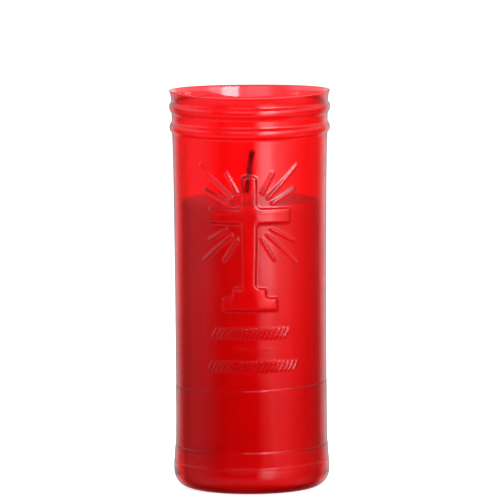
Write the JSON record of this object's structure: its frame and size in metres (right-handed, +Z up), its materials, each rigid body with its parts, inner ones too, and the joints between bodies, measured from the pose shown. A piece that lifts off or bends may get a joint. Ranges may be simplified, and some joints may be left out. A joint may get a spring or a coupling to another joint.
{
  "type": "sanctuary lamp",
  "caption": "Thin red see-through container lamp with a raised cross, rays and ring beads, holding a loose wax candle with a cored wick on a sustainer disc.",
  "frame": {"origin": "on the table plane, under the container's own axis", "axes": "+Z up along the container's axis towards its open mouth; the raised cross faces -Y; +X to the right of someone who looks at the cross"},
  "size_m": [0.0704, 0.0704, 0.175],
  "materials": {
    "red_clear_plastic": "gloss",
    "wax": "satin",
    "wick_cotton": "matte",
    "core_thread": "matte",
    "tinplate": "satin"
  },
  "bodies": {
    "container": {"container_shell": "red_clear_plastic"},
    "candle": {"wax_candle": "wax", "wick_sheath": "wick_cotton", "wick_core": "core_thread", "wick_sustainer": "tinplate"}
  },
  "joints": [
    {"name": "candle_lift", "type": "slide", "parent": "container", "child": "candle", "axis": [0, 0, 1], "range_m": [0, 0.19]}
  ]
}
